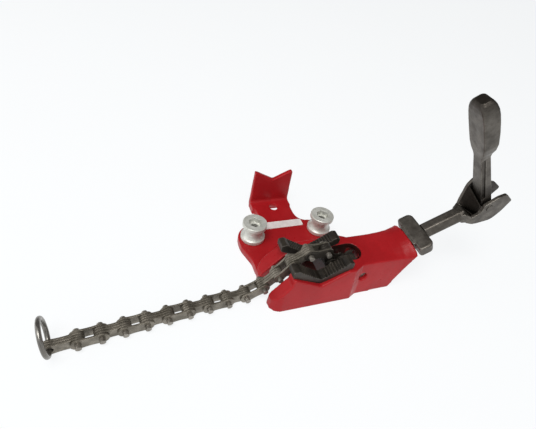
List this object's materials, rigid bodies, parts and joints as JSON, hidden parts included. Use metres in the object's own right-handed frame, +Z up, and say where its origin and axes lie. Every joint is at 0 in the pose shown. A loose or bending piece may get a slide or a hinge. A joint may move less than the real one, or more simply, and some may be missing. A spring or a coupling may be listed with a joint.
{
  "type": "bench chain pipe vise",
  "caption": "Bench-top chain pipe vise: cast base with V jaws, leaf chain with pull ring, top screw with folding crank, bending spools and a V pipe rest.",
  "frame": {"origin": "on the bench face, midway under the jaws, in the plane of the chain", "axes": "+X along the vise from the chain's free end towards the crank, +Y towards the spools and the pipe rest (pipe axis), +Z up"},
  "size_m": [0.6157, 0.2249, 0.2848],
  "materials": {
    "red_paint": "gloss",
    "black_oxide": "satin",
    "forged_steel": "satin",
    "chain_steel": "satin",
    "zinc": "satin",
    "bright_wire": "satin",
    "label": "satin"
  },
  "bodies": {
    "base": {"base_casting": "red_paint", "channel_pins": "chain_steel", "rear_jaw": "black_oxide", "front_jaw": "black_oxide", "jaw_screws": "black_oxide", "left_spool": "zinc", "right_spool": "zinc", "label_plate": "label", "thrust_block": "forged_steel"},
    "screw": {"chain_screw": "forged_steel", "anchor_pin": "chain_steel"},
    "nut": {"handle_nut": "forged_steel", "crank_pivot_pin": "chain_steel"},
    "crank": {"crank_handle": "forged_steel"},
    "link_01": {"inner_link_01": "chain_steel"},
    "link_02": {"outer_link_02": "chain_steel", "link_pins_02": "chain_steel"},
    "link_03": {"inner_link_03": "chain_steel"},
    "link_04": {"outer_link_04": "chain_steel", "link_pins_04": "chain_steel"},
    "link_05": {"inner_link_05": "chain_steel"},
    "link_06": {"outer_link_06": "chain_steel", "link_pins_06": "chain_steel"},
    "link_07": {"inner_link_07": "chain_steel"},
    "link_08": {"outer_link_08": "chain_steel", "link_pins_08": "chain_steel"},
    "link_09": {"inner_link_09": "chain_steel"},
    "link_10": {"outer_link_10": "chain_steel", "link_pins_10": "chain_steel"},
    "link_11": {"inner_link_11": "chain_steel"},
    "link_12": {"outer_link_12": "chain_steel", "link_pins_12": "chain_steel"},
    "link_13": {"inner_link_13": "chain_steel"},
    "link_14": {"outer_link_14": "chain_steel", "link_pins_14": "chain_steel"},
    "link_15": {"inner_link_15": "chain_steel"},
    "link_16": {"outer_link_16": "chain_steel", "link_pins_16": "chain_steel"},
    "ring_link": {"ring_link": "chain_steel"},
    "ring": {"finger_ring": "bright_wire"}
  },
  "joints": [
    {"name": "nut_turn", "type": "hinge", "parent": "base", "child": "nut", "pos_m": [0.1461, 0, 0.0616], "axis": [-0.8788, 0, -0.4772], "range_deg": [0, 720]},
    {"name": "screw_slide", "type": "slide", "parent": "base", "child": "screw", "axis": [0.8788, 0, 0.4772], "range_m": [0, 0.0101]},
    {"name": "crank_fold", "type": "hinge", "parent": "nut", "child": "crank", "pos_m": [0.246, 0, 0.12323], "axis": [0, 1, 0], "range_deg": [0, 90]},
    {"name": "chain_joint_01", "type": "hinge", "parent": "screw", "child": "link_01", "pos_m": [0.05031, 0, 0.00959], "axis": [0, 1, 0], "range_deg": [-1, 4]},
    {"name": "chain_joint_02", "type": "hinge", "parent": "link_01", "child": "link_02", "pos_m": [0.04898, 0, 0.03495], "axis": [0, 1, 0], "range_deg": [-4, 6]},
    {"name": "chain_joint_03", "type": "hinge", "parent": "link_02", "child": "link_03", "pos_m": [0.02478, 0, 0.04268], "axis": [0, 1, 0], "range_deg": [-4, 6]},
    {"name": "chain_joint_04", "type": "hinge", "parent": "link_03", "child": "link_04", "pos_m": [0.01373, 0, 0.06555], "axis": [-0.0253, 0.9997, 0], "range_deg": [-4, 6]},
    {"name": "chain_joint_05", "type": "hinge", "parent": "link_04", "child": "link_05", "pos_m": [-0.01166, -0.00064, 0.06572], "axis": [-0.0253, 0.9997, 0], "range_deg": [-4, 6]},
    {"name": "chain_joint_06", "type": "hinge", "parent": "link_05", "child": "link_06", "pos_m": [-0.03361, -0.00175, 0.05298], "axis": [-0.0758, 0.9971, 0], "range_deg": [-4, 6]},
    {"name": "chain_joint_07", "type": "hinge", "parent": "link_06", "child": "link_07", "pos_m": [-0.05043, -0.00303, 0.03399], "axis": [-0.0758, 0.9971, 0], "range_deg": [-4, 6]},
    {"name": "chain_joint_08", "type": "hinge", "parent": "link_07", "child": "link_08", "pos_m": [-0.06984, -0.00501, 0.01773], "axis": [-0.1011, 0.9949, 0], "range_deg": [-4, 6]},
    {"name": "chain_joint_09", "type": "hinge", "parent": "link_08", "child": "link_09", "pos_m": [-0.09332, -0.00739, 0.00835], "axis": [-0.1011, 0.9949, 0], "range_deg": [-4, 6]},
    {"name": "chain_joint_10", "type": "hinge", "parent": "link_09", "child": "link_10", "pos_m": [-0.11859, -0.00996, 0.00835], "axis": [-0.1011, 0.9949, 0], "range_deg": [-25, 25]},
    {"name": "chain_joint_11", "type": "hinge", "parent": "link_10", "child": "link_11", "pos_m": [-0.14386, -0.01252, 0.00835], "axis": [-0.1011, 0.9949, 0], "range_deg": [-25, 25]},
    {"name": "chain_joint_12", "type": "hinge", "parent": "link_11", "child": "link_12", "pos_m": [-0.16913, -0.01509, 0.00835], "axis": [-0.1011, 0.9949, 0], "range_deg": [-25, 25]},
    {"name": "chain_joint_13", "type": "hinge", "parent": "link_12", "child": "link_13", "pos_m": [-0.1944, -0.01766, 0.00835], "axis": [-0.1011, 0.9949, 0], "range_deg": [-25, 25]},
    {"name": "chain_joint_14", "type": "hinge", "parent": "link_13", "child": "link_14", "pos_m": [-0.21967, -0.02022, 0.00835], "axis": [-0.1011, 0.9949, 0], "range_deg": [-25, 25]},
    {"name": "chain_joint_15", "type": "hinge", "parent": "link_14", "child": "link_15", "pos_m": [-0.24494, -0.02279, 0.00835], "axis": [-0.1011, 0.9949, 0], "range_deg": [-25, 25]},
    {"name": "chain_joint_16", "type": "hinge", "parent": "link_15", "child": "link_16", "pos_m": [-0.27021, -0.02536, 0.00835], "axis": [-0.1011, 0.9949, 0], "range_deg": [-25, 25]},
    {"name": "chain_joint_17", "type": "hinge", "parent": "link_16", "child": "ring_link", "pos_m": [-0.29548, -0.02793, 0.00835], "axis": [-0.1011, 0.9949, 0], "range_deg": [-25, 25]},
    {"name": "ring_swing", "type": "hinge", "parent": "ring_link", "child": "ring", "pos_m": [-0.32374, -0.0308, 0.00835], "axis": [-0.1011, 0.9949, 0], "range_deg": [-85, 60]}
  ],
  "couplings": [
    {"joint": "screw_slide", "follows": "nut_turn", "m_per_rad": 0.00079577}
  ]
}
